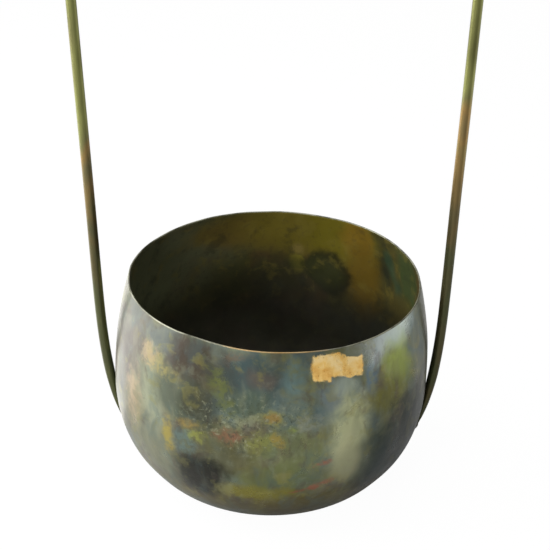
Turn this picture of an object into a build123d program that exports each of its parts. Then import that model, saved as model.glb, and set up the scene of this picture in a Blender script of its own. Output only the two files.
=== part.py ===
from build123d import *
import math
import os

# Hanging planter: a thin round brass bowl carried by a tall hoop of round rod.
# Millimetres. +Z up, X through the two arms of the hoop, origin at the middle
# of the bowl's flat foot, so the planter stands on Z = 0.

# Bowl
foot_radius = 52.0
belly_radius = 95.0
belly_height = 64.0
mouth_radius = 86.5
bowl_height = 130.0
wall_thickness = 1.0
lip_rounding = 0.35

# Hoop rod
rod_radius = 3.0
arm_bend_height = 120.0
arm_bend_x = 104.1
arm_splay_deg = 2.6
arm_top_height = 372.0

# Flattened ends of the hoop, which lie on the wall under the belly.
# Positions down the wall are angles round its quarter ellipse,
# from 0 at the belly to 90 at the foot.
flat_half_thickness = 1.2
flat_half_width = 5.5
flat_below_height = 21.0
round_above_height = 66.0
flat_gap = 0.15
flat_tip_angle = 62.0
flat_leaves_wall_angle = 14.0

# Rivets and the burrs under their peened tails
rivet_upper_angle = 34.0
rivet_lower_angle = 51.5
shank_radius = 1.75
shank_clearance = 0.05
head_radius = 3.5
head_height = 1.8
seat_radius = 3.8
seat_gap = 0.02
tail_radius = 2.9
tail_height = 1.1
burr_radius = 4.25
burr_thickness = 0.8
burr_gap = 0.25

# Hanging ring and the two stop collars beside it
ring_wire_radius = 2.0
ring_inner_radius = 15.0
ring_running_gap = 0.1
collar_radius = 5.0
collar_length = 3.8
collar_bore_gap = 0.05
collar_rounding = 1.2
collar_offset = 5.5

# Values that follow from the dimensions above
ellipse_x = belly_radius - foot_radius
ellipse_z = belly_height
splay = math.radians(arm_splay_deg)
arm_top_x = arm_bend_x + (arm_top_height - arm_bend_height) * math.tan(splay)
arch_radius = arm_top_x / math.cos(splay)
arch_centre_height = arm_top_height + arch_radius * math.sin(splay)
apex_height = arch_centre_height + arch_radius
ring_centre_height = apex_height + rod_radius + ring_running_gap - ring_inner_radius
head_seat = flat_gap + 2 * flat_half_thickness


def wall_point(angle):
    """A point of the bowl's outer wall below the belly, as X and Z."""
    turn = math.radians(angle)
    x = foot_radius + ellipse_x * math.cos(turn)
    z = belly_height - ellipse_z * math.sin(turn)
    return x, z


def wall_normal(angle):
    """The outward normal of the wall at that point, as X and Z."""
    turn = math.radians(angle)
    x = ellipse_z * math.cos(turn)
    z = -ellipse_x * math.sin(turn)
    length = math.hypot(x, z)
    return x / length, z / length


def roundness(height):
    """0 where the rod is hammered flat, 1 where it is still round."""
    span = round_above_height - flat_below_height
    share = min(max((height - flat_below_height) / span, 0.0), 1.0)
    return share * share * (3.0 - 2.0 * share)


def half_thickness(height):
    return flat_half_thickness + (rod_radius - flat_half_thickness) * roundness(height)


def half_width(height):
    return flat_half_width + (rod_radius - flat_half_width) * roundness(height)


def flat_centre(angle):
    """The middle of the flattened rod where it lies on the wall."""
    x, z = wall_point(angle)
    normal_x, normal_z = wall_normal(angle)
    stand_off = flat_gap + half_thickness(z)
    return x + normal_x * stand_off, z + normal_z * stand_off


def mirrored(shape):
    return mirror(shape, about=Plane.YZ)


def rivet_plane(angle):
    """Plane on the right side of the wall, with its Z along the outward normal."""
    x, z = wall_point(angle)
    normal_x, normal_z = wall_normal(angle)
    return Plane(origin=(x, 0, z), x_dir=(0, 1, 0), z_dir=(normal_x, 0, normal_z))


def rivet_hole(angle):
    drill_length = 30.0
    drill = Cylinder(shank_radius + shank_clearance, drill_length)
    return rivet_plane(angle) * drill


def head_spot_face(angle):
    """The flat seat cut into the rod's outer face under a rivet head."""
    depth = 5.0
    cutter = Pos(0, 0, head_seat - seat_gap + depth / 2) * Cylinder(seat_radius, depth)
    return rivet_plane(angle) * cutter


def both_sides(make):
    """One cutter at each of the four rivets."""
    right = make(rivet_upper_angle) + make(rivet_lower_angle)
    return right + mirrored(right)


def wall_curve(thickness_in):
    """The bowl's wall from the foot to the mouth, moved in by a thickness."""
    centre = (foot_radius, belly_height)
    lower = EllipticalCenterArc(
        centre, ellipse_x - thickness_in, ellipse_z - thickness_in, start_angle=270, arc_size=90
    )
    rise = bowl_height - belly_height
    draw_in = belly_radius - mouth_radius
    upper_radius = (rise ** 2 + draw_in ** 2) / (2 * draw_in)
    centre_x = belly_radius - upper_radius
    mouth_x = centre_x + math.sqrt((upper_radius - thickness_in) ** 2 - rise ** 2)
    upper = TangentArc(
        (belly_radius - thickness_in, belly_height), (mouth_x, bowl_height), tangent=(0, 1)
    )
    return lower, upper, mouth_x


def make_bowl():
    outer_lower, outer_upper, outer_mouth = wall_curve(0.0)
    inner_lower, inner_upper, inner_mouth = wall_curve(wall_thickness)
    section = make_face(
        [
            Line((0, 0), (foot_radius, 0)),
            outer_lower,
            outer_upper,
            Line((outer_mouth, bowl_height), (inner_mouth, bowl_height)),
            inner_upper,
            inner_lower,
            Line((foot_radius, wall_thickness), (0, wall_thickness)),
            Line((0, wall_thickness), (0, 0)),
        ]
    )
    shell = revolve(Plane.XZ * section, Axis.Z)
    lip_edges = [
        edge
        for edge in shell.edges().filter_by(GeomType.CIRCLE)
        if abs(edge.center().Z - bowl_height) < 1e-3
    ]
    shell = fillet(lip_edges, lip_rounding)
    return shell - both_sides(rivet_hole)


def flat_station(angle):
    """Centre of the flattened rod at that angle, and its direction up the arm."""
    small_step = 0.5
    x, z = flat_centre(angle)
    below_x, below_z = flat_centre(angle + small_step)
    above_x, above_z = flat_centre(angle - small_step)
    return Vector(x, 0, z), Vector(above_x - below_x, 0, above_z - below_z).normalized()


def flattened_section(centre, along):
    outline = Ellipse(half_width(centre.Z), half_thickness(centre.Z))
    return Plane(origin=centre, x_dir=(0, 1, 0), z_dir=along) * outline


def flattened_end():
    """The right arm from its hammered tip up to its bend, as one loft."""
    contact_count = 7
    free_count = 8
    step = (flat_tip_angle - flat_leaves_wall_angle) / (contact_count - 1)
    sections = []
    for index in range(contact_count):
        centre, along = flat_station(flat_tip_angle - step * index)
        sections.append(flattened_section(centre, along))
    leaving, leaving_direction = flat_station(flat_leaves_wall_angle)
    bend = Vector(arm_bend_x, 0, arm_bend_height)
    bend_direction = Vector(math.sin(splay), 0, math.cos(splay))
    handle = (bend - leaving).length / 3
    free_span = Bezier(
        leaving, leaving + leaving_direction * handle, bend - bend_direction * handle, bend
    )
    for index in range(1, free_count + 1):
        share = index / free_count
        sections.append(flattened_section(free_span @ share, free_span % share))
    return loft(sections)


def hoop_rod():
    """The two straight arms and the round arch over them."""
    bend = (arm_bend_x, 0, arm_bend_height)
    top = (arm_top_x, 0, arm_top_height)
    apex = (0, 0, apex_height)
    other_top = (-arm_top_x, 0, arm_top_height)
    other_bend = (-arm_bend_x, 0, arm_bend_height)
    path = Wire([Line(bend, top), ThreePointArc(top, apex, other_top), Line(other_top, other_bend)])
    start = Plane(origin=bend, z_dir=(math.sin(splay), 0, math.cos(splay)))
    return sweep(start * Circle(rod_radius), path)


def make_bail():
    right_end = flattened_end()
    bail = hoop_rod() + right_end + mirrored(right_end)
    return bail - both_sides(rivet_hole) - both_sides(head_spot_face)


def domed_cap(radius, height):
    """A spherical cap that sits on Z = 0."""
    sphere_radius = (radius ** 2 + height ** 2) / (2 * height)
    ball = Pos(0, 0, height - sphere_radius) * Sphere(sphere_radius)
    box_side = 4 * sphere_radius
    above = Pos(0, 0, box_side / 2) * Box(box_side, box_side, box_side)
    return ball & above


def make_rivet(angle):
    tail_seat = -(wall_thickness + burr_gap + burr_thickness)
    shank_length = head_seat - tail_seat
    head = Pos(0, 0, head_seat) * domed_cap(head_radius, head_height)
    shank = Pos(0, 0, tail_seat + shank_length / 2) * Cylinder(shank_radius, shank_length)
    tail = Pos(0, 0, tail_seat) * Rot(180, 0, 0) * domed_cap(tail_radius, tail_height)
    return rivet_plane(angle) * (head + shank + tail)


def make_burr(angle):
    disc = Cylinder(burr_radius, burr_thickness)
    hole = Cylinder(shank_radius + shank_clearance, 2 * burr_thickness)
    middle = -(wall_thickness + burr_gap + burr_thickness / 2)
    return rivet_plane(angle) * (Pos(0, 0, middle) * (disc - hole))


def make_stop_collar():
    """The right collar: a bead round the arch, square to the rod there."""
    bead = Rot(0, 90, 0) * Cylinder(collar_radius, collar_length)
    bead = fillet(bead.edges().filter_by(GeomType.CIRCLE), collar_rounding)
    bore = Rot(0, 90, 0) * Cylinder(rod_radius + collar_bore_gap, 2 * collar_length)
    lean = math.degrees(math.asin(collar_offset / arch_radius))
    to_arch_centre = Pos(0, 0, arch_centre_height) * Rot(0, lean, 0)
    return to_arch_centre * (Pos(0, 0, arch_radius) * (bead - bore))


def make_hanging_ring():
    """A closed ring of round wire, hanging on the top of the arch."""
    ring = Torus(ring_inner_radius + ring_wire_radius, ring_wire_radius)
    return Pos(0, 0, ring_centre_height) * (Rot(0, 90, 0) * ring)


def write(name, shape):
    export_step(shape, "parts/" + name + ".step")


os.makedirs("parts", exist_ok=True)

write("bowl", make_bowl())
write("bail", make_bail())
write("rivet_right_upper", make_rivet(rivet_upper_angle))
write("rivet_right_lower", make_rivet(rivet_lower_angle))
write("rivet_left_upper", mirrored(make_rivet(rivet_upper_angle)))
write("rivet_left_lower", mirrored(make_rivet(rivet_lower_angle)))
write("burr_right_upper", make_burr(rivet_upper_angle))
write("burr_right_lower", make_burr(rivet_lower_angle))
write("burr_left_upper", mirrored(make_burr(rivet_upper_angle)))
write("burr_left_lower", mirrored(make_burr(rivet_lower_angle)))
write("stop_collar_right", make_stop_collar())
write("stop_collar_left", mirrored(make_stop_collar()))
write("hanging_ring", make_hanging_ring())
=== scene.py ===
import math

import bpy
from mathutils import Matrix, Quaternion, Vector, noise


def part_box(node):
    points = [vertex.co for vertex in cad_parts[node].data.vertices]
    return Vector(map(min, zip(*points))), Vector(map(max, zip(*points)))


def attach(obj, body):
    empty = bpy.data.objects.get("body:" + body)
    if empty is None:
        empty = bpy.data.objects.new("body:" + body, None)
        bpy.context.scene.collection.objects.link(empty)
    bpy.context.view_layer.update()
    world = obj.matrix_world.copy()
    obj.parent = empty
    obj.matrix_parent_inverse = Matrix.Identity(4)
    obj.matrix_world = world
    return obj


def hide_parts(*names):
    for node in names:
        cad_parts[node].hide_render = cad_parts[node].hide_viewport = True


# Hanging planter: patinated brass bowl riveted into a tall rod hoop.
# Metres throughout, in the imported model's own frame.

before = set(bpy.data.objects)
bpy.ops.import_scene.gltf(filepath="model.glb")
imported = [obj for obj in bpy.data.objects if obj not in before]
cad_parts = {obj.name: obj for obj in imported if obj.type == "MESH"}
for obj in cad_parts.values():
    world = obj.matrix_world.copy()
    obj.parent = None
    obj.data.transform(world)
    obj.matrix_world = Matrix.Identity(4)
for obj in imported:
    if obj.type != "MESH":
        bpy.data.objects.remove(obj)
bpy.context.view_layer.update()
scene = bpy.context.scene

MM = 0.001

# ---------------------------------------------------------------- dimensions

BELLY_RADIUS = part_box("bowl")[1].x
BOWL_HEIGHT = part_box("bowl")[1].z
FOOT_RADIUS = 52.0 * MM
BELLY_HEIGHT = 64.0 * MM
MOUTH_RADIUS = 86.5 * MM
WALL = 1.0 * MM

ROD_RADIUS = 3.0 * MM
BEND_X = 104.1 * MM
BEND_Z = 120.0 * MM
SPLAY = math.radians(2.6)
ARM_TOP_Z = 372.0 * MM
ARM_TOP_X = BEND_X + (ARM_TOP_Z - BEND_Z) * math.tan(SPLAY)
ARCH_RADIUS = ARM_TOP_X / math.cos(SPLAY)
ARCH_CENTRE_Z = ARM_TOP_Z + ARCH_RADIUS * math.sin(SPLAY)

FLAT_HALF_THICKNESS = 1.2 * MM
FLAT_HALF_WIDTH = 5.5 * MM
FLAT_BELOW = 21.0 * MM
ROUND_ABOVE = 66.0 * MM
FLAT_GAP = 0.15 * MM
FLAT_TIP_ANGLE = 62.0
FLAT_LEAVES_ANGLE = 14.0

RING_LOW, RING_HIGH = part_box("hanging_ring")
RING_CENTRE = (RING_LOW + RING_HIGH) / 2
RING_WIRE = (RING_HIGH.x - RING_LOW.x) / 2
RING_RADIUS = (RING_HIGH.z - RING_LOW.z) / 2 - RING_WIRE

# -------------------------------------------------------------------- camera

# The camera stands VIEW_DISTANCE from its target, a little to the right.
VIEW_AZIMUTH = math.radians(1.5)
VIEW_ELEVATION = math.radians(28.88)
VIEW_ROLL = math.radians(0.5)
VIEW_DISTANCE = 1.1
VIEW_TARGET = Vector((0.0, 0.0, 0.131))
VIEW_ASIDE = 2.1 * MM
FOCAL_PIXELS = 1846.0
IMAGE_PIXELS = 550.0
SENSOR_MM = 36.0


def make_camera():
    away = Vector(
        (
            math.sin(VIEW_AZIMUTH) * math.cos(VIEW_ELEVATION),
            -math.cos(VIEW_AZIMUTH) * math.cos(VIEW_ELEVATION),
            math.sin(VIEW_ELEVATION),
        )
    )
    right = Vector((math.cos(VIEW_AZIMUTH), math.sin(VIEW_AZIMUTH), 0.0))
    data = bpy.data.cameras.new("camera")
    data.sensor_width = SENSOR_MM
    data.lens = FOCAL_PIXELS / IMAGE_PIXELS * SENSOR_MM
    camera = bpy.data.objects.new("camera", data)
    scene.collection.objects.link(camera)
    camera.location = VIEW_TARGET + away * VIEW_DISTANCE + right * VIEW_ASIDE
    facing = (-away).to_track_quat("-Z", "Y")
    camera.rotation_mode = "QUATERNION"
    camera.rotation_quaternion = facing @ Quaternion((0, 0, 1), VIEW_ROLL)
    scene.camera = camera


make_camera()

# ---------------------------------------------------------------- mesh tools


def link_mesh(name, verts, faces, smooth=True):
    mesh = bpy.data.meshes.new(name)
    mesh.from_pydata([tuple(v) for v in verts], [], faces)
    mesh.validate()
    mesh.update()
    for polygon in mesh.polygons:
        polygon.use_smooth = smooth
    obj = bpy.data.objects.new(name, mesh)
    scene.collection.objects.link(obj)
    return obj


def smoothstep(low, high, value):
    share = min(max((value - low) / (high - low), 0.0), 1.0)
    return share * share * (3.0 - 2.0 * share)


def tube_faces(rings, sides, closed=False):
    """Faces between rings of the same number of points, in order."""
    faces = []
    count = rings if closed else rings - 1
    for i in range(count):
        j = (i + 1) % rings
        for k in range(sides):
            after = (k + 1) % sides
            faces.append((i * sides + k, i * sides + after, j * sides + after, j * sides + k))
    return faces


# --------------------------------------------------------------- bowl shape


def wall_radius(z, inset):
    """Radius of the bowl's wall at a height, moved in by a thickness."""
    if z < BELLY_HEIGHT:
        share = (BELLY_HEIGHT - z) / (BELLY_HEIGHT - inset)
        reach = BELLY_RADIUS - FOOT_RADIUS - inset
        return FOOT_RADIUS + reach * math.sqrt(max(1.0 - share * share, 0.0))
    rise = BOWL_HEIGHT - BELLY_HEIGHT
    draw_in = BELLY_RADIUS - MOUTH_RADIUS
    arc = (rise * rise + draw_in * draw_in) / (2.0 * draw_in)
    return BELLY_RADIUS - arc + math.sqrt((arc - inset) ** 2 - (z - BELLY_HEIGHT) ** 2)


# How hand finishing leaves the bowl: slow and quick swellings of its wall, the
# wall's fullness near the mouth and slackness below the belly, and the mouth's
# ripples, lean and slide.
SLOW_SWELL = 0.7 * MM
QUICK_SWELL = 0.2 * MM
FULL_ABOVE = 0.5 * MM
SLACK_BELOW = 1.0 * MM
SLOW_RIPPLE = 0.5 * MM
QUICK_RIPPLE = 0.2 * MM
MOUTH_LEAN = 2.6 * MM
MOUTH_SLIDE = 1.8 * MM

# Rises and dips of the rim: angle, spread in degrees and height in mm.
UNEVEN_RIM = [(148.0, 34.0, -2.1), (40.0, 30.0, 1.1), (-117.0, 12.0, 1.0), (-60.0, 16.0, -0.5)]


def hand_made(theta, radius, z):
    """Moves a point of the bowl as hand finishing leaves it: not quite round or level."""
    up = z / BOWL_HEIGHT
    free = smoothstep(0.05, 0.6, up)
    direction = Vector((math.cos(theta), math.sin(theta), up * 1.3))
    soft = noise.noise(direction * 1.7 + Vector((3.1, 7.7, 1.3)))
    fine = noise.noise(direction * 5.3 + Vector((9.2, 1.4, 4.6)))
    near_arm = smoothstep(0.80, 0.97, abs(math.cos(theta))) * (1.0 - smoothstep(0.5, 0.75, up))
    out = (SLOW_SWELL * soft + QUICK_SWELL * fine) * free * (1.0 - near_arm)
    out += FULL_ABOVE * smoothstep(0.5, 0.75, up)
    low = smoothstep(0.0, 0.12, up) * (1.0 - smoothstep(0.3, 0.55, up))
    out -= SLACK_BELOW * low * (1.0 - near_arm)
    lip = smoothstep(0.82, 1.0, up)
    wave = noise.noise(Vector((math.cos(theta) * 1.9, math.sin(theta) * 1.9, 5.5)))
    ripple = noise.noise(Vector((math.cos(theta) * 6.0, math.sin(theta) * 6.0, 2.5)))
    lift = (SLOW_RIPPLE * wave + QUICK_RIPPLE * ripple) * lip
    for middle, spread, height in UNEVEN_RIM:
        away = (math.degrees(theta) - middle + 180.0) % 360.0 - 180.0
        lift += height * MM * math.exp(-((away / spread) ** 2)) * lip
    leaning = smoothstep(0.42, 1.0, up)
    lean = -MOUTH_LEAN * math.cos(theta) * leaning
    x = (radius + out) * math.cos(theta) + MOUTH_SLIDE * leaning
    y = (radius + out) * math.sin(theta)
    return x, y, z + lift + lean


def bowl_profile():
    """Radius, height and zone down the outside, over the lip and down the inside."""
    points = []
    foot_rows = 8
    steps = 60
    rows = 50
    lip_steps = 8
    for i in range(1, foot_rows + 1):
        points.append((FOOT_RADIUS * i / foot_rows, 0.0, "outer"))
    for i in range(1, steps):
        turn = math.pi / 2 * i / steps
        radius = FOOT_RADIUS + (BELLY_RADIUS - FOOT_RADIUS) * math.sin(turn)
        points.append((radius, BELLY_HEIGHT * (1.0 - math.cos(turn)), "outer"))
    rise = BOWL_HEIGHT - BELLY_HEIGHT
    lip = 0.5 * WALL
    for i in range(rows):
        z = BELLY_HEIGHT + (rise - lip) * i / (rows - 1)
        points.append((wall_radius(z, 0.0), z, "outer"))
    middle = wall_radius(BOWL_HEIGHT - lip, lip)
    for i in range(1, lip_steps):
        turn = math.pi * i / lip_steps
        points.append(
            (middle + lip * math.cos(turn), BOWL_HEIGHT - lip + lip * math.sin(turn), "lip")
        )
    for i in range(rows):
        z = BOWL_HEIGHT - lip - (rise - lip) * i / (rows - 1)
        points.append((wall_radius(z, WALL), z, "inner"))
    for i in range(steps - 1, 0, -1):
        turn = math.pi / 2 * i / steps
        radius = FOOT_RADIUS + (BELLY_RADIUS - FOOT_RADIUS - WALL) * math.sin(turn)
        z = BELLY_HEIGHT - (BELLY_HEIGHT - WALL) * math.cos(turn)
        points.append((radius, z, "inner"))
    for i in range(foot_rows, 0, -1):
        points.append((FOOT_RADIUS * i / foot_rows, WALL, "inner"))
    return points


def make_bowl():
    """Closed shell of the bowl, with a material zone outside, on the lip and inside."""
    sides = 320
    profile = bowl_profile()
    verts = [(0.0, 0.0, 0.0)]
    for radius, z, zone in profile:
        for k in range(sides):
            theta = 2.0 * math.pi * k / sides
            verts.append(hand_made(theta, radius, z))
    verts.append((0.0, 0.0, WALL))
    faces = []
    zones = []
    for k in range(sides):
        faces.append((0, 1 + (k + 1) % sides, 1 + k))
        zones.append("outer")
    for i in range(len(profile) - 1):
        this_zone = profile[i][2]
        on_lip = "lip" in (this_zone, profile[i + 1][2])
        a = 1 + i * sides
        b = a + sides
        for k in range(sides):
            after = (k + 1) % sides
            faces.append((a + k, a + after, b + after, b + k))
            zones.append("lip" if on_lip else this_zone)
    last = 1 + (len(profile) - 1) * sides
    for k in range(sides):
        faces.append((last + k, last + (k + 1) % sides, len(verts) - 1))
        zones.append("inner")
    obj = link_mesh("bowl_shell", verts, faces)
    order = ["outer", "lip", "inner"]
    for polygon, zone in zip(obj.data.polygons, zones):
        polygon.material_index = order.index(zone)
    return obj


# ------------------------------------------------------------ hoop and trims


def roundness(z):
    """0 where the rod's end is flattened, 1 where it is round."""
    return smoothstep(FLAT_BELOW, ROUND_ABOVE, z)


def half_thickness(z):
    return FLAT_HALF_THICKNESS + (ROD_RADIUS - FLAT_HALF_THICKNESS) * roundness(z)


def half_width(z):
    return FLAT_HALF_WIDTH + (ROD_RADIUS - FLAT_HALF_WIDTH) * roundness(z)


def flat_centre(angle):
    """Middle of the flattened rod on the wall, at an angle round its quarter ellipse."""
    turn = math.radians(angle)
    reach = BELLY_RADIUS - FOOT_RADIUS
    x = FOOT_RADIUS + reach * math.cos(turn)
    z = BELLY_HEIGHT - BELLY_HEIGHT * math.sin(turn)
    normal = Vector((BELLY_HEIGHT * math.cos(turn), 0.0, -reach * math.sin(turn))).normalized()
    return Vector((x, 0.0, z)) + normal * (FLAT_GAP + half_thickness(z))


def bezier(a, b, c, d, share):
    rest = 1.0 - share
    return (
        a * rest**3
        + b * (3 * rest * rest * share)
        + c * (3 * rest * share * share)
        + d * share**3
    )


def arm_points():
    """Centre line of the right arm from the tip up to the arch."""
    points = []
    steps = 60
    for i in range(steps):
        share = i / steps
        points.append(flat_centre(FLAT_TIP_ANGLE + (FLAT_LEAVES_ANGLE - FLAT_TIP_ANGLE) * share))
    leaving = flat_centre(FLAT_LEAVES_ANGLE)
    just_above = flat_centre(FLAT_LEAVES_ANGLE - 0.5)
    just_below = flat_centre(FLAT_LEAVES_ANGLE + 0.5)
    direction = (just_above - just_below).normalized()
    bend = Vector((BEND_X, 0.0, BEND_Z))
    bend_direction = Vector((math.sin(SPLAY), 0.0, math.cos(SPLAY)))
    handle = (bend - leaving).length / 3
    for i in range(steps):
        points.append(
            bezier(
                leaving,
                leaving + direction * handle,
                bend - bend_direction * handle,
                bend,
                i / steps,
            )
        )
    straight = 110
    top = Vector((ARM_TOP_X, 0.0, ARM_TOP_Z))
    for i in range(straight):
        points.append(bend.lerp(top, i / straight))
    return points


def hoop_points():
    """Centre line of the whole hoop, from the right arm's tip to the left arm's."""
    right = arm_points()
    arch = []
    steps = 160
    for i in range(steps + 1):
        turn = -SPLAY + (math.pi + 2 * SPLAY) * i / steps
        arch.append(
            Vector(
                (
                    ARCH_RADIUS * math.cos(turn),
                    0.0,
                    ARCH_CENTRE_Z + ARCH_RADIUS * math.sin(turn),
                )
            )
        )
    left = [Vector((-p.x, p.y, p.z)) for p in reversed(right)]
    return right + arch + left


# How straightening by hand leaves the rod: its sway to front and back, its bow
# in the hoop's plane, which is mostly inwards, and the depth of the hammer's
# dents on it and on its ends. It is true below SWAY_STARTS and at the collars.
ROD_SWAY = 0.7 * MM
ROD_BOW = 0.35 * MM
BOW_INWARDS = 0.9
ROD_DENT = 0.008 * MM
FLAT_DENT = 0.10 * MM
SWAY_STARTS, SWAY_FULL = 130.0 * MM, 200.0 * MM
SWAY_FADES, SWAY_ENDS = 470.0 * MM, 485.0 * MM

# Each tip closes in over its last few rings of points.
TIP_RINGS = 5.0
TIP_TAPER = 0.22


def make_hoop():
    """Rod of the whole hoop, hammered flat towards its two ends."""
    sides = 40
    points = hoop_points()
    verts = []
    across = Vector((0.0, 1.0, 0.0))
    for i, point in enumerate(points):
        before = points[max(i - 1, 0)]
        after = points[min(i + 1, len(points) - 1)]
        along = (after - before).normalized()
        out = across.cross(along).normalized()
        wide = half_width(point.z)
        thick = half_thickness(point.z)
        flat = 1.0 - roundness(point.z)
        starting = smoothstep(SWAY_STARTS, SWAY_FULL, point.z)
        free = starting * (1.0 - smoothstep(SWAY_FADES, SWAY_ENDS, point.z))
        bow = noise.noise(Vector((point.z * 9.0, 3.0 if point.x > 0 else 8.0, 0.4)))
        sway = noise.noise(Vector((point.z * 8.0, 5.0 if point.x > 0 else 1.0, 3.4)))
        centre = point + across * (ROD_SWAY * sway * free)
        centre = centre + out * (ROD_BOW * (bow - BOW_INWARDS) * free)
        end_share = min(i, len(points) - 1 - i) / TIP_RINGS
        taper = 1.0 - TIP_TAPER * max(1.0 - end_share, 0.0) ** 2
        power = 2.0 + 1.4 * flat
        for k in range(sides):
            turn = 2.0 * math.pi * k / sides
            c, s = math.cos(turn), math.sin(turn)
            y = math.copysign(abs(c) ** (2.0 / power), c) * wide * taper
            x = math.copysign(abs(s) ** (2.0 / power), s) * thick
            place = centre + across * y + out * x
            dent = noise.noise(place * 190.0) + 0.5 * noise.noise(place * 420.0)
            depth = ROD_DENT + FLAT_DENT * flat * max(s, 0.0)
            place = place - (across * c + out * s) * depth * max(dent, 0.0)
            verts.append(place)
    rings = len(points)
    faces = tube_faces(rings, sides)
    for ring, flip in ((0, False), (rings - 1, True)):
        centre = Vector((0.0, 0.0, 0.0))
        for k in range(sides):
            centre += verts[ring * sides + k]
        verts.append(centre / sides)
        cap = len(verts) - 1
        for k in range(sides):
            a = ring * sides + k
            b = ring * sides + (k + 1) % sides
            faces.append((a, b, cap) if flip else (b, a, cap))
    return link_mesh("hoop_rod", verts, faces)


def make_ring():
    """Closed wire ring with the small swelling of its brazed joint."""
    rings = 160
    sides = 32
    joint_turn = 2.6
    swelling = 0.05
    wear = 0.985
    verts = []
    for i in range(rings):
        turn = 2.0 * math.pi * i / rings
        radial = Vector((0.0, math.sin(turn), math.cos(turn)))
        from_joint = abs((turn - joint_turn + math.pi) % (2 * math.pi) - math.pi)
        swell = 1.0 + swelling * math.exp(-((from_joint / 0.07) ** 2))
        groove = 1.0 - swelling * math.exp(-((from_joint / 0.012) ** 2))
        wire = RING_WIRE * swell * groove * wear
        for k in range(sides):
            angle = 2.0 * math.pi * k / sides
            spot = radial * (RING_RADIUS + wire * math.cos(angle))
            verts.append(RING_CENTRE + spot + Vector((wire * math.sin(angle), 0.0, 0.0)))
    return link_mesh("ring_wire", verts, tube_faces(rings, sides, closed=True))


def make_collar(node):
    """Rounded bead round the arch, with a small braze fillet at each end."""
    low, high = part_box(node)
    middle = (low + high) / 2
    tilt = math.atan2(middle.x, ARCH_RADIUS)
    along = Vector((math.cos(tilt), 0.0, -math.sin(tilt)))
    out = Vector((math.sin(tilt), 0.0, math.cos(tilt)))
    across = Vector((0.0, 1.0, 0.0))
    centre = Vector((0.0, 0.0, ARCH_CENTRE_Z)) + out * ARCH_RADIUS
    half = 1.9 * MM
    outer = 4.95 * MM
    inner = ROD_RADIUS + 0.02 * MM
    profile = [(-half, inner)]
    steps = 18
    squared = 0.6
    for i in range(steps + 1):
        turn = math.pi * i / steps
        x = -half * math.copysign(abs(math.cos(turn)) ** squared, math.cos(turn))
        r = inner + (outer - inner) * math.sin(turn) ** squared
        profile.append((x, max(r, inner + 0.15 * MM)))
    profile.append((half, inner))
    sides = 56
    verts = []
    for x, r in profile:
        for k in range(sides):
            turn = 2.0 * math.pi * k / sides
            radial = out * math.cos(turn) + across * math.sin(turn)
            verts.append(centre + along * x + radial * r)
    return link_mesh(node + "_bead", verts, tube_faces(len(profile), sides, closed=True))


# ----------------------------------------------------------------- materials


def rgb(red, green, blue, gain=1.0):
    """Linear colour from 0 to 255 display values."""
    values = []
    for channel in (red, green, blue):
        c = channel / 255.0
        linear = c / 12.92 if c <= 0.04045 else ((c + 0.055) / 1.055) ** 2.4
        values.append(min(linear * gain, 0.95))
    return (values[0], values[1], values[2], 1.0)


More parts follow.
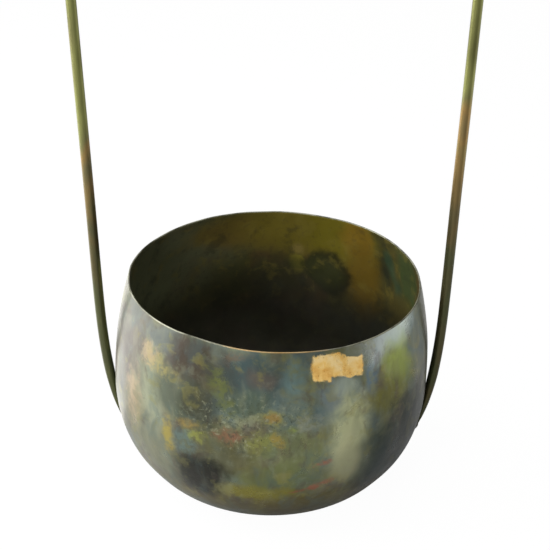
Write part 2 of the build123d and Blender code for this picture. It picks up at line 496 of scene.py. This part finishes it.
class Nodes:
    """Short calls for building one material's node tree."""

    def __init__(self, name):
        self.material = bpy.data.materials.new(name)
        self.material.use_nodes = True
        self.tree = self.material.node_tree
        self.tree.nodes.clear()
        output = self.add("ShaderNodeOutputMaterial")
        self.shader = self.add("ShaderNodeBsdfPrincipled")
        self.join(self.shader.outputs["BSDF"], output.inputs["Surface"])
        coordinates = self.add("ShaderNodeTexCoord")
        self.place = coordinates.outputs["Object"]

    def add(self, kind):
        return self.tree.nodes.new(kind)

    def join(self, source, target):
        self.tree.links.new(source, target)

    def feed(self, value, target):
        if isinstance(value, bpy.types.NodeSocket):
            self.join(value, target)
        else:
            target.default_value = value

    def noise(self, place, scale, detail=3.0, rough=0.55):
        node = self.add("ShaderNodeTexNoise")
        self.join(place, node.inputs["Vector"])
        node.inputs["Scale"].default_value = scale
        node.inputs["Detail"].default_value = detail
        node.inputs["Roughness"].default_value = rough
        return node

    def stretch(self, place, scale, turn=(0.0, 0.0, 0.0)):
        node = self.add("ShaderNodeMapping")
        self.join(place, node.inputs["Vector"])
        node.inputs["Rotation"].default_value = turn
        node.inputs["Scale"].default_value = scale
        return node.outputs["Vector"]

    def math(self, operation, first, second=0.0, third=0.0):
        node = self.add("ShaderNodeMath")
        node.operation = operation
        self.feed(first, node.inputs[0])
        self.feed(second, node.inputs[1])
        self.feed(third, node.inputs[2])
        return node.outputs[0]

    def span(self, value, low, high, to_low=0.0, to_high=1.0, smooth=True):
        node = self.add("ShaderNodeMapRange")
        node.interpolation_type = "SMOOTHSTEP" if smooth else "LINEAR"
        self.feed(value, node.inputs["Value"])
        node.inputs["From Min"].default_value = low
        node.inputs["From Max"].default_value = high
        node.inputs["To Min"].default_value = to_low
        node.inputs["To Max"].default_value = to_high
        return node.outputs["Result"]

    def mix(self, share, first, second):
        node = self.add("ShaderNodeMix")
        node.data_type = "RGBA"
        self.feed(share, node.inputs[0])
        self.feed(first, node.inputs[6])
        self.feed(second, node.inputs[7])
        return node.outputs[2]

    def ramp(self, value, stops):
        node = self.add("ShaderNodeValToRGB")
        self.join(value, node.inputs["Fac"])
        elements = node.color_ramp.elements
        while len(elements) < len(stops):
            elements.new(0.5)
        for element, (position, colour) in zip(elements, stops):
            element.position = position
            element.color = colour
        return node.outputs["Color"]

    def warp(self, place, scale, amount, detail=2.0):
        """The position, pushed about by a noise of that scale."""
        wander = self.noise(place, scale, detail)
        centred = self.add("ShaderNodeVectorMath")
        centred.operation = "SUBTRACT"
        self.join(wander.outputs["Color"], centred.inputs[0])
        centred.inputs[1].default_value = (0.5, 0.5, 0.5)
        scaled = self.add("ShaderNodeVectorMath")
        scaled.operation = "SCALE"
        self.join(centred.outputs[0], scaled.inputs[0])
        scaled.inputs["Scale"].default_value = amount
        total = self.add("ShaderNodeVectorMath")
        total.operation = "ADD"
        self.join(place, total.inputs[0])
        self.join(scaled.outputs[0], total.inputs[1])
        return total.outputs[0]

    def field(self, place, theta, z, wide, high, tilt=0.0, inset=0.0, square=False):
        """1 at a spot on the bowl given by angle and height in mm, 0 at the patch's edge."""
        turn = math.radians(theta)
        radius = wall_radius(z * MM, inset)
        node = self.add("ShaderNodeMapping")
        node.vector_type = "TEXTURE"
        self.join(place, node.inputs["Vector"])
        node.inputs["Location"].default_value = (
            radius * math.cos(turn),
            radius * math.sin(turn),
            z * MM,
        )
        node.inputs["Rotation"].default_value = (math.radians(tilt), 0.0, turn)
        deep = max(wide, high, 14.0) * 1.6
        node.inputs["Scale"].default_value = (deep * MM, wide * MM, high * MM)
        if square:
            parts = self.add("ShaderNodeSeparateXYZ")
            self.join(node.outputs["Vector"], parts.inputs[0])
            across = self.math("ABSOLUTE", parts.outputs["Y"])
            upward = self.math("ABSOLUTE", parts.outputs["Z"])
            inward = self.math("ABSOLUTE", parts.outputs["X"])
            size = self.math("SMOOTH_MAX", self.math("MAXIMUM", across, inward), upward, 0.5)
        else:
            length = self.add("ShaderNodeVectorMath")
            length.operation = "LENGTH"
            self.join(node.outputs["Vector"], length.inputs[0])
            size = length.outputs["Value"]
        return self.math("SUBTRACT", 1.0, size)

    def ragged(self, field, ragging, amount, soft, strength):
        """A patch's share, its edge broken by a noise and softened."""
        moved = self.math("MULTIPLY_ADD", ragging, amount, field)
        middle = amount * 0.5
        return self.span(moved, middle - soft, middle + soft, 0.0, strength)

    def veil(self, colour, place, scale, low, high, strength, shade):
        """A film of another colour where a noise is strong."""
        film = self.noise(place, scale, 4.0, 0.6).outputs["Fac"]
        return self.mix(self.span(film, low, high, 0.0, strength), colour, shade)

    def bump(self, height, distance, strength=1.0, onto=None):
        node = self.add("ShaderNodeBump")
        self.join(height, node.inputs["Height"])
        node.inputs["Distance"].default_value = distance
        node.inputs["Strength"].default_value = strength
        if onto is not None:
            self.join(onto, node.inputs["Normal"])
        return node.outputs["Normal"]

    def finish(self, colour, metallic, roughness, normal, coat=0.0):
        self.feed(colour, self.shader.inputs["Base Color"])
        self.feed(metallic, self.shader.inputs["Metallic"])
        self.feed(roughness, self.shader.inputs["Roughness"])
        self.feed(normal, self.shader.inputs["Normal"])
        self.shader.inputs["Coat Weight"].default_value = coat
        self.shader.inputs["Coat Roughness"].default_value = 0.22
        return self.material


# Patches of colour on the bowl. Each row is the angle round the bowl and the
# height in mm, half width and half height in mm, softness, strength, tilt in
# degrees and display colour. These are the broad soft tones of the outside;
# among them are painted shade low on the right, and patina with a painted
# reflection up on the right and in a pale upright stripe.
OUTER_TONES_AND_PAINTED_LIGHT = [
    (-150, 88, 24, 44, 0.5, 0.8, 0, (97, 92, 85)),
    (-146, 66, 12, 22, 0.5, 0.7, 0, (143, 138, 104)),
    (-131, 124, 22, 11, 0.5, 0.85, 0, (103, 110, 107)),
    (-135, 84, 13, 27, 0.6, 0.75, 0, (156, 162, 136)),
    (-116, 117, 17, 17, 0.45, 0.95, 0, (70, 60, 50)),
    (-124, 94, 18, 14, 0.4, 0.8, 0, (83, 92, 78)),
    (-114, 92, 10, 12, 0.5, 0.8, 0, (61, 61, 45)),
    (-94, 114, 26, 13, 0.4, 0.95, 0, (66, 82, 82)),
    (-96, 97, 13, 9, 0.5, 0.85, 0, (82, 93, 72)),
    (-90, 114, 10, 6, 0.6, 0.85, 0, (94, 87, 78)),
    (-79, 114, 8, 12, 0.5, 0.8, 0, (112, 137, 134)),
    (-63, 100, 14, 15, 0.4, 0.9, 0, (118, 130, 130)),
    (-49, 108, 5, 13, 0.5, 0.85, 0, (94, 116, 129)),
    # Patina with a painted reflection: a pale grey patch up on the right.
    (-41, 124, 22, 10, 0.5, 0.9, 0, (155, 163, 161)),
    (-35, 100, 12, 20, 0.5, 0.95, 22, (122, 130, 54)),
    (-42, 87, 14, 12, 0.5, 0.9, 0, (110, 107, 45)),
    # Painted shade: the next three dark patches darken the lower right of the bowl.
    (-20, 66, 30, 20, 0.5, 0.95, 0, (40, 46, 28)),
    (-18, 38, 46, 24, 0.5, 0.95, 0, (18, 26, 28)),
    (-46, 40, 16, 18, 0.5, 0.85, 0, (30, 44, 42)),
    (-6, 100, 16, 30, 0.6, 0.7, 0, (84, 90, 74)),
    # Patina with a painted reflection: the pale upright stripe on the front right.
    (-60, 74, 12, 26, 0.5, 0.9, 0, (182, 185, 142)),
    (-58, 50, 16, 14, 0.5, 0.75, 0, (120, 124, 98)),
    (-80, 90, 18, 12, 0.5, 0.7, 0, (92, 111, 108)),
    (-83, 68, 20, 13, 0.5, 0.8, 0, (112, 120, 78)),
    (-86, 46, 24, 12, 0.5, 0.8, 0, (97, 104, 58)),
    (-92, 24, 56, 12, 0.5, 0.9, 0, (92, 82, 28)),
    (-95, 36, 26, 6, 0.5, 0.85, 0, (122, 115, 34)),
    (-103, 60, 14, 10, 0.5, 0.7, 0, (90, 84, 46)),
    (-116, 44, 18, 16, 0.4, 1.0, 0, (25, 25, 16)),
    (-136, 48, 20, 15, 0.5, 0.8, 0, (121, 124, 99)),
    (30, 100, 40, 26, 0.5, 0.8, 10, (84, 96, 92)),
    (62, 60, 34, 26, 0.5, 0.8, -10, (120, 116, 62)),
    (84, 112, 30, 14, 0.5, 0.85, 0, (98, 84, 72)),
    (112, 78, 30, 30, 0.5, 0.8, 14, (88, 104, 98)),
    (150, 110, 30, 20, 0.5, 0.8, 0, (136, 138, 112)),
    (148, 50, 34, 22, 0.5, 0.85, 0, (70, 70, 56)),
    (20, 40, 36, 20, 0.5, 0.85, 0, (104, 100, 56)),
]

# Thin films of smoky tarnish and pale bloom, laid over the mottling. The dark
# films low on the right are painted shade, and two pale films are bloom with a
# painted reflection.
OUTER_FILMS_AND_PAINTED_LIGHT = [
    # Painted shade: the first two films darken the lower right of the bowl.
    (-28, 48, 40, 28, 0.6, 0.60, 0, (26, 38, 34)),
    (-46, 52, 13, 22, 0.6, 0.45, 0, (34, 52, 46)),
    (-116, 44, 16, 14, 0.6, 0.45, 0, (40, 40, 32)),
    (-92, 14, 60, 9, 0.6, 0.35, 0, (66, 58, 22)),
    (-112, 94, 9, 22, 0.6, 0.35, 0, (58, 58, 42)),
    (-106, 114, 8, 14, 0.6, 0.45, 0, (58, 56, 44)),
    (-108, 72, 24, 10, 0.6, 0.30, 0, (56, 56, 38)),
    (-62, 108, 8, 5, 0.6, 0.55, 0, (170, 180, 162)),
    # Bloom with a painted reflection: the next two pale films.
    (-61, 56, 8, 18, 0.6, 0.45, 0, (186, 184, 144)),
    (-33, 124, 12, 9, 0.6, 0.45, 0, (176, 190, 178)),
    (-34, 108, 9, 13, 0.6, 0.45, 14, (156, 170, 88)),
    (150, 40, 40, 20, 0.6, 0.45, 0, (52, 54, 44)),
    (40, 50, 40, 24, 0.6, 0.40, 0, (44, 52, 46)),
]

# Small marks of flame colour, laid over the films.
OUTER_MARKS = [
    (-139, 111, 7, 7, 0.55, 0.50, 20, (188, 164, 130)),
    (-132, 107, 10, 5, 0.55, 0.55, -10, (164, 152, 92)),
    (-147, 78, 7, 16, 0.60, 0.50, 0, (184, 158, 128)),
    (-127, 67, 4.2, 10, 0.55, 0.72, 4, (170, 152, 68)),
    (-118, 79, 7, 3, 0.55, 0.60, 0, (150, 126, 64)),
    (-120, 66, 7, 7, 0.55, 0.73, 0, (100, 119, 112)),
    (-114, 72, 5, 4, 0.55, 0.73, 0, (144, 148, 72)),
    (-103, 77, 8, 4, 0.55, 0.60, 4, (142, 92, 70)),
    (-106, 104, 5, 14, 0.60, 0.65, 25, (102, 109, 52)),
    (-88, 91, 8, 5, 0.60, 0.65, 0, (145, 139, 68)),
    (-88, 91, 4.4, 2.4, 0.60, 0.60, 0, (146, 112, 62)),
    (-90, 75, 9, 6, 0.60, 0.65, 0, (135, 138, 69)),
    (-86, 76, 3, 5, 0.60, 0.60, 15, (156, 130, 58)),
    (-81, 84, 2.4, 2.0, 0.55, 0.77, 0, (133, 147, 64)),
    (-79, 121, 4, 6, 0.65, 0.60, 0, (122, 122, 74)),
    (-101, 126, 8, 2.6, 0.65, 0.45, 0, (120, 96, 70)),
    (-73, 86, 10, 5, 0.60, 0.52, 0, (140, 145, 133)),
    (-97, 88, 8, 4, 0.60, 0.52, 20, (145, 150, 121)),
    (-69, 58, 5, 1.6, 0.55, 0.77, 12, (155, 100, 77)),
    (-70, 41, 7, 2.4, 0.55, 0.77, 28, (152, 94, 72)),
    (-77, 37, 7, 1.0, 0.55, 0.77, 6, (133, 85, 61)),
    (58, 96, 12, 6, 0.60, 0.69, 12, (176, 148, 90)),
    (104, 104, 7, 11, 0.60, 0.69, 0, (146, 144, 72)),
    (130, 68, 10, 5, 0.60, 0.69, -14, (161, 107, 78)),
    (84, 44, 14, 5, 0.60, 0.69, 8, (136, 127, 63)),
]

# Bright worn patch: angle, height, half width, half height and tilt of its parts.
GOLD_PATCHES = [
    (-67.2, 119.4, 9.8, 6.2, -10),
    (-58.0, 116.0, 7.4, 5.4, -12),
    (-69.6, 116.2, 6.0, 5.2, -6),
]

# Tones of the inside.
INNER_TONES = [
    (150, 104, 60, 40, 0.5, 0.8, 0, (83, 87, 64)),
    (110, 116, 30, 12, 0.5, 0.8, 0, (84, 70, 25)),
    (85, 118, 30, 20, 0.5, 0.85, 0, (91, 81, 24)),
    (62, 116, 24, 22, 0.5, 0.9, 0, (89, 81, 17)),
    (54, 116, 10, 16, 0.5, 0.6, 0, (105, 78, 20)),
    (52, 86, 13, 26, 0.6, 0.9, 0, (83, 66, 16)),
    (24, 104, 12, 34, 0.5, 0.9, 0, (46, 57, 29)),
    (37, 108, 5, 10, 0.5, 0.6, -14, (38, 59, 42)),
    (33, 92, 5, 9, 0.5, 0.55, -10, (27, 55, 43)),
    (82, 90, 5, 8, 0.4, 0.85, 0, (100, 93, 31)),
    (82, 101, 4, 4, 0.6, 0.75, 0, (105, 92, 46)),
    (92, 78, 30, 14, 0.5, 0.7, 0, (35, 39, 21)),
    (68, 87, 17, 17, 0.22, 0.88, 0, (23, 24, 10)),
    (70, 86.5, 14, 14, 0.35, 0.9, 0, (42, 44, 19)),
    (32, 80, 20, 12, 0.5, 0.8, 0, (66, 59, 25)),
    (-40, 96, 50, 30, 0.5, 0.8, 0, (58, 56, 26)),
    (-110, 90, 50, 34, 0.5, 0.8, 0, (66, 56, 28)),
]


def lay_patches(n, colour, place, ragging, amount, rows, gain, inset=0.0, broken=None):
    """Lays a list of patches over a colour, in order."""
    for theta, z, wide, high, soft, strength, tilt, shade in rows:
        field = n.field(place, theta, z, wide, high, tilt, inset)
        share = n.ragged(field, ragging, amount, soft, strength)
        if broken is not None:
            share = n.math("MULTIPLY", share, broken)
        colour = n.mix(share, colour, rgb(*shade, gain))
    return colour


def brass_outside():
    """Flame patina outside: tones, films, marks, fine flecks and a worn gold patch, with painted
    shade and painted reflection among the tones and films.
    """
    n = Nodes("bowl_outside_patina_and_painted_light")
    gain = 1.12
    drift = n.warp(n.place, 30.0, 0.014, 2.0)
    brushed = n.warp(drift, 120.0, 0.005, 3.0)
    crisp = n.warp(n.warp(n.place, 60.0, 0.006, 2.0), 240.0, 0.0024, 2.0)
    broken = n.noise(brushed, 75.0, 5.0, 0.6).outputs["Fac"]
    chipped = n.noise(crisp, 170.0, 5.0, 0.62).outputs["Fac"]
    torn = n.noise(crisp, 130.0, 5.0, 0.75).outputs["Fac"]

    clouds = n.noise(brushed, 22.0, 3.0, 0.6).outputs["Fac"]
    colour = n.ramp(
        clouds,
        [
            (0.30, rgb(72, 82, 80, gain)),
            (0.42, rgb(100, 112, 104, gain)),
            (0.52, rgb(116, 116, 80, gain)),
            (0.62, rgb(94, 86, 72, gain)),
            (0.74, rgb(128, 134, 112, gain)),
        ],
    )
    colour = lay_patches(n, colour, drift, broken, 1.6, OUTER_TONES_AND_PAINTED_LIGHT, gain)

    dripped = n.stretch(brushed, (1.0, 1.0, 0.55))
    colour = n.veil(colour, dripped, 64.0, 0.50, 0.66, 0.36, rgb(84, 104, 102, gain))
    colour = n.veil(colour, brushed, 82.0, 0.53, 0.66, 0.38, rgb(140, 134, 70, gain))
    colour = n.veil(colour, dripped, 98.0, 0.55, 0.68, 0.45, rgb(84, 72, 62, gain))
    colour = n.veil(colour, brushed, 120.0, 0.54, 0.72, 0.20, rgb(150, 158, 132, gain))
    streaks = n.noise(n.stretch(drift, (1.0, 1.0, 0.3)), 120.0, 2.0, 0.5).outputs["Fac"]
    colour = n.mix(n.span(streaks, 0.50, 0.34, 0.0, 0.18), colour, rgb(50, 56, 52, gain))
    colour = n.mix(n.span(streaks, 0.54, 0.70, 0.0, 0.16), colour, rgb(150, 150, 120, gain))
    colour = lay_patches(n, colour, drift, broken, 1.2, OUTER_FILMS_AND_PAINTED_LIGHT, gain)
    flecks = n.noise(crisp, 330.0, 4.0, 0.6).outputs["Fac"]
    holes = n.noise(n.warp(crisp, 200.0, 0.004), 190.0, 3.0, 0.6).outputs["Fac"]
    holes = n.span(holes, 0.40, 0.56, 0.30, 1.0)
    colour = lay_patches(n, colour, crisp, torn, 2.6, OUTER_MARKS, gain, 0.0, holes)

    # Fine flecks, pale and dark, crowd together low on the front.
    patchy = n.noise(n.stretch(n.place, (1.0, 1.0, 1.5)), 36.0, 2.0, 0.5).outputs["Fac"]
    busy = n.field(drift, -98, 85, 38, 17)
    busy = n.ragged(busy, patchy, 1.6, 0.5, 1.0)
    pale = n.math("MULTIPLY", n.span(flecks, 0.55, 0.68, 0.0, 0.34), busy)
    dark = n.math("MULTIPLY", n.span(flecks, 0.46, 0.34, 0.0, 0.42), busy)
    colour = n.mix(pale, colour, rgb(172, 176, 146, gain))
    colour = n.mix(dark, colour, rgb(44, 52, 48, gain))

    gold = None
    gold_place = n.warp(n.place, 150.0, 0.003, 2.0)
    for theta, z, wide, high, tilt in GOLD_PATCHES:
        field = n.field(gold_place, theta, z, wide, high, tilt, 0.0, True)
        gold = field if gold is None else n.math("MAXIMUM", gold, field)
    gold = n.ragged(gold, torn, 1.0, 0.10, 1.0)
    leaf = n.noise(crisp, 110.0, 4.0, 0.6).outputs["Fac"]
    gold_colour = n.ramp(
        leaf,
        [
            (0.36, rgb(222, 168, 82)),
            (0.50, rgb(242, 200, 116)),
            (0.64, rgb(248, 218, 154)),
        ],
    )
    pits = n.span(n.noise(n.place, 520.0, 3.0, 0.7).outputs["Fac"], 0.64, 0.70, 0.0, 0.8)
    gold_colour = n.mix(pits, gold_colour, rgb(84, 58, 30))
    colour = n.mix(gold, colour, gold_colour)

    specks = n.noise(n.place, 700.0, 2.0, 0.5).outputs["Fac"]
    speck_share = n.math("MULTIPLY", n.span(specks, 0.68, 0.72, 0.0, 0.7), busy)
    colour = n.mix(speck_share, colour, rgb(30, 30, 26))

    rough_noise = n.noise(brushed, 60.0, 4.0, 0.6).outputs["Fac"]
    rough = n.span(rough_noise, 0.3, 0.7, 0.26, 0.38, smooth=False)
    rough = n.math("SUBTRACT", rough, n.math("MULTIPLY", gold, 0.08))
    metal = n.span(rough_noise, 0.3, 0.7, 0.72, 0.9, smooth=False)
    metal = n.math("SUBTRACT", metal, n.math("MULTIPLY", gold, 0.4))

    dents = n.noise(n.place, 45.0, 2.0, 0.5).outputs["Fac"]
    normal = n.bump(dents, 0.0010, 0.5)
    normal = n.bump(chipped, 0.00012, 0.5, normal)
    scratches = n.noise(n.stretch(n.place, (1.0, 1.0, 8.0), (0.3, 0.2, 0.0)), 220.0, 4.0, 0.7)
    normal = n.bump(scratches.outputs["Fac"], 0.00006, 0.5, normal)
    return n.finish(colour, metal, rough, normal, 0.20)


def brass_inside():
    """Olive patina inside, with painted shade darker towards the floor."""
    n = Nodes("bowl_inside_patina_and_painted_shade")
    gain = 1.7
    drift = n.warp(n.place, 30.0, 0.014, 2.0)
    brushed = n.warp(drift, 120.0, 0.005, 3.0)
    broken = n.noise(brushed, 75.0, 5.0, 0.6).outputs["Fac"]
    clouds = n.noise(brushed, 24.0, 3.0, 0.6).outputs["Fac"]
    colour = n.ramp(
        clouds,
        [
            (0.30, rgb(34, 36, 22, gain)),
            (0.48, rgb(58, 54, 22, gain)),
            (0.60, rgb(62, 48, 22, gain)),
            (0.74, rgb(52, 58, 36, gain)),
        ],
    )
    colour = lay_patches(n, colour, drift, broken, 1.0, INNER_TONES, gain, WALL)
    colour = n.veil(colour, brushed, 90.0, 0.52, 0.68, 0.35, rgb(98, 88, 36, gain))
    colour = n.veil(colour, drift, 70.0, 0.54, 0.68, 0.40, rgb(30, 32, 22, gain))
    grain = n.noise(brushed, 300.0, 4.0, 0.6).outputs["Fac"]
    colour = n.mix(n.span(grain, 0.46, 0.34, 0.0, 0.2), colour, rgb(26, 26, 20, gain))
    # Painted shade: the inside darkens towards the floor of the bowl.
    split = n.add("ShaderNodeSeparateXYZ")
    n.join(brushed, split.inputs[0])
    deep = n.span(split.outputs["Z"], 0.092, 0.052, 0.0, 0.85)
    colour = n.mix(deep, colour, rgb(27, 28, 24, gain))
    rough = n.span(clouds, 0.3, 0.7, 0.42, 0.55, smooth=False)
    metal = n.span(broken, 0.3, 0.7, 0.30, 0.55, smooth=False)
    normal = n.bump(n.noise(n.place, 45.0, 2.0, 0.5).outputs["Fac"], 0.0008, 0.4)
    normal = n.bump(grain, 0.00006, 0.6, normal)
    return n.finish(colour, metal, rough, normal, 0.15)


def brass_lip():
    """Lip worn paler, and to bare brass at the front."""
    n = Nodes("bowl_lip_worn")
    wear = n.noise(n.place, 70.0, 4.0, 0.65).outputs["Fac"]
    colour = n.ramp(
        wear,
        [
            (0.36, rgb(60, 60, 46)),
            (0.48, rgb(104, 104, 88)),
            (0.64, rgb(132, 132, 114)),
        ],
    )
    worn = n.ragged(n.field(n.place, -88, 130, 26, 20), wear, 1.8, 0.3, 0.6)
    colour = n.mix(worn, colour, rgb(160, 124, 66))
    rough = n.span(wear, 0.3, 0.7, 0.45, 0.30, smooth=False)
    normal = n.bump(n.noise(n.place, 500.0, 3.0, 0.6).outputs["Fac"], 0.00012, 0.5)
    return n.finish(colour, 0.5, rough, normal)


def brass_rod():
    """Drawn rod, darkened in long bands."""
    n = Nodes("rod_dark_brass")
    split = n.add("ShaderNodeSeparateXYZ")
    n.join(n.place, split.inputs[0])
    long_way = n.stretch(n.warp(n.place, 24.0, 0.012, 1.0), (1.0, 1.0, 0.45))
    bands = n.noise(long_way, 34.0, 2.0, 0.5).outputs["Fac"]
    colour = n.ramp(
        bands,
        [
            (0.32, rgb(88, 88, 50, 1.4)),
            (0.44, rgb(112, 114, 66, 1.4)),
            (0.53, rgb(104, 102, 64, 1.4)),
            (0.60, rgb(128, 104, 62, 1.4)),
            (0.70, rgb(90, 88, 62, 1.4)),
        ],
    )
    # The rod is darker down by the bowl, and calmer on the arch.
    low = n.span(split.outputs["Z"], 0.24, 0.13, 0.0, 0.8)
    colour = n.mix(low, colour, rgb(62, 65, 46, 1.2))
    high = n.span(split.outputs["Z"], 0.33, 0.45, 0.0, 0.7)
    colour = n.mix(high, colour, rgb(92, 88, 56, 1.1))
    fine = n.noise(n.stretch(n.place, (1.0, 1.0, 0.25)), 260.0, 3.0, 0.55).outputs["Fac"]
    colour = n.mix(n.span(fine, 0.5, 0.34, 0.0, 0.06), colour, rgb(50, 48, 30))
    colour = n.mix(n.span(fine, 0.56, 0.74, 0.0, 0.06), colour, rgb(176, 164, 96))
    rough = n.span(fine, 0.3, 0.7, 0.33, 0.40, smooth=False)
    hammer = n.noise(n.place, 110.0, 1.0, 0.4).outputs["Fac"]
    normal = n.bump(hammer, 0.00012, 0.3)
    # Lines left by the drawing die run along the arms.
    draw_lines = n.noise(n.stretch(n.place, (1.0, 1.0, 0.05)), 1600.0, 2.0, 0.5)
    on_arms = n.span(split.outputs["Z"], 0.40, 0.34, 0.0, 1.0)
    lines = n.math("MULTIPLY", draw_lines.outputs["Fac"], on_arms)
    normal = n.bump(lines, 0.00004, 0.4, normal)
    return n.finish(colour, 0.8, rough, normal)


def brass_trim(name, dark, middle, bright):
    """Brass of the small pieces, worn brighter in random spots."""
    n = Nodes(name)
    spread = n.noise(n.place, 110.0, 3.0, 0.55).outputs["Fac"]
    colour = n.ramp(spread, [(0.34, dark), (0.5, middle), (0.68, bright)])
    fine = n.noise(n.place, 1500.0, 3.0, 0.6).outputs["Fac"]
    colour = n.mix(n.span(fine, 0.5, 0.32, 0.0, 0.22), colour, dark)
    rough = n.span(spread, 0.3, 0.7, 0.46, 0.30, smooth=False)
    normal = n.bump(n.noise(n.place, 700.0, 3.0, 0.55).outputs["Fac"], 0.00008, 0.4)
    return n.finish(colour, 0.9, rough, normal)


# -------------------------------------------------------------------- build

bowl = make_bowl()
bowl.data.materials.append(brass_outside())
bowl.data.materials.append(brass_lip())
bowl.data.materials.append(brass_inside())
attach(bowl, "planter")
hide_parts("bowl")

hoop = make_hoop()
hoop.data.materials.append(brass_rod())
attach(hoop, "planter")
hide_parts("bail")

ring_tones = (rgb(74, 68, 38), rgb(108, 98, 54), rgb(160, 140, 84))
ring_material = brass_trim("ring_worn_brass", *ring_tones)
ring = make_ring()
ring.data.materials.append(ring_material)
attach(ring, "ring")
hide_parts("hanging_ring")

for side in ("left", "right"):
    node = "stop_collar_" + side
    collar = make_collar(node)
    collar.data.materials.append(ring_material)
    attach(collar, "planter")
    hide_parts(node)

rivet_material = brass_trim("rivet_brass", rgb(44, 42, 28), rgb(92, 84, 50), rgb(176, 150, 92))
for name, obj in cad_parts.items():
    if name.startswith(("rivet_", "burr_")):
        obj.data.materials.clear()
        obj.data.materials.append(rivet_material)

# ------------------------------------------------------------ floor and light


def make_floor():
    """Pale studio table: even and white to the eye, a soft grey for light that bounces."""
    half = 4.0
    corners = [(-half, -half, 0.0), (half, -half, 0.0), (half, half, 0.0), (-half, half, 0.0)]
    floor = link_mesh("floor", corners, [(0, 1, 2, 3)], smooth=False)
    material = bpy.data.materials.new("pale_floor")
    material.use_nodes = True
    tree = material.node_tree
    tree.nodes.clear()
    output = tree.nodes.new("ShaderNodeOutputMaterial")
    glow = tree.nodes.new("ShaderNodeEmission")
    glow.inputs["Color"].default_value = (1.0, 1.0, 1.0, 1.0)
    glow.inputs["Strength"].default_value = 1.0
    paint = tree.nodes.new("ShaderNodeBsdfDiffuse")
    paint.inputs["Color"].default_value = (0.85, 0.85, 0.84, 1.0)
    seen = tree.nodes.new("ShaderNodeMixShader")
    seen.inputs[0].default_value = 0.03
    bounce = tree.nodes.new("ShaderNodeBsdfDiffuse")
    bounce.inputs["Color"].default_value = (0.38, 0.38, 0.375, 1.0)
    path = tree.nodes.new("ShaderNodeLightPath")
    both = tree.nodes.new("ShaderNodeMixShader")
    tree.links.new(glow.outputs[0], seen.inputs[1])
    tree.links.new(paint.outputs[0], seen.inputs[2])
    tree.links.new(path.outputs["Is Camera Ray"], both.inputs[0])
    tree.links.new(bounce.outputs[0], both.inputs[1])
    tree.links.new(seen.outputs[0], both.inputs[2])
    tree.links.new(both.outputs[0], output.inputs["Surface"])
    floor.data.materials.append(material)


def area_light(name, place, target, width, height, watts):
    data = bpy.data.lights.new(name, "AREA")
    data.shape = "RECTANGLE"
    data.size = width
    data.size_y = height
    data.energy = watts
    light = bpy.data.objects.new(name, data)
    scene.collection.objects.link(light)
    light.location = place
    light.rotation_mode = "QUATERNION"
    light.rotation_quaternion = (Vector(target) - Vector(place)).to_track_quat("-Z", "Y")
    light.visible_camera = False


def make_world():
    """White to the eye; for light and reflections bright above and dim low down."""
    world = bpy.data.worlds.new("studio")
    scene.world = world
    world.use_nodes = True
    tree = world.node_tree
    tree.nodes.clear()
    output = tree.nodes.new("ShaderNodeOutputWorld")
    seen = tree.nodes.new("ShaderNodeBackground")
    seen.inputs["Color"].default_value = (1.0, 1.0, 1.0, 1.0)
    seen.inputs["Strength"].default_value = 1.05
    lit = tree.nodes.new("ShaderNodeBackground")
    direction = tree.nodes.new("ShaderNodeTexCoord")
    height = tree.nodes.new("ShaderNodeSeparateXYZ")
    sky = tree.nodes.new("ShaderNodeMapRange")
    sky.inputs["From Min"].default_value = 0.0
    sky.inputs["From Max"].default_value = 1.0
    sky.inputs["To Min"].default_value = 0.15
    sky.inputs["To Max"].default_value = 0.95
    tree.links.new(direction.outputs["Generated"], height.inputs[0])
    tree.links.new(height.outputs["Z"], sky.inputs["Value"])
    tree.links.new(sky.outputs["Result"], lit.inputs["Strength"])
    path = tree.nodes.new("ShaderNodeLightPath")
    both = tree.nodes.new("ShaderNodeMixShader")
    tree.links.new(path.outputs["Is Camera Ray"], both.inputs[0])
    tree.links.new(lit.outputs[0], both.inputs[1])
    tree.links.new(seen.outputs[0], both.inputs[2])
    tree.links.new(both.outputs[0], output.inputs["Surface"])


make_floor()
make_world()
# The two glows lie just above the table, face up and light the bowl's flanks.
area_light("key_left", (-0.60, 0.05, 0.36), (-0.08, -0.02, 0.02), 0.8, 0.6, 9.0)
area_light("top", (0.0, -0.15, 1.3), (0.0, 0.05, 0.1), 0.9, 0.9, 8.0)
area_light("front_left", (-0.70, -1.35, 0.66), (0.0, 0.05, 0.11), 0.6, 0.35, 14.0)
area_light("glow_left", (-0.3875, 0.31, 0.004), (-0.3875, 0.31, 1.0), 0.625, 0.58, 1.0)
area_light("glow_right", (0.72, 0.14, 0.004), (0.72, 0.14, 1.0), 0.54, 0.76, 1.5)

scene.view_settings.view_transform = "Standard"
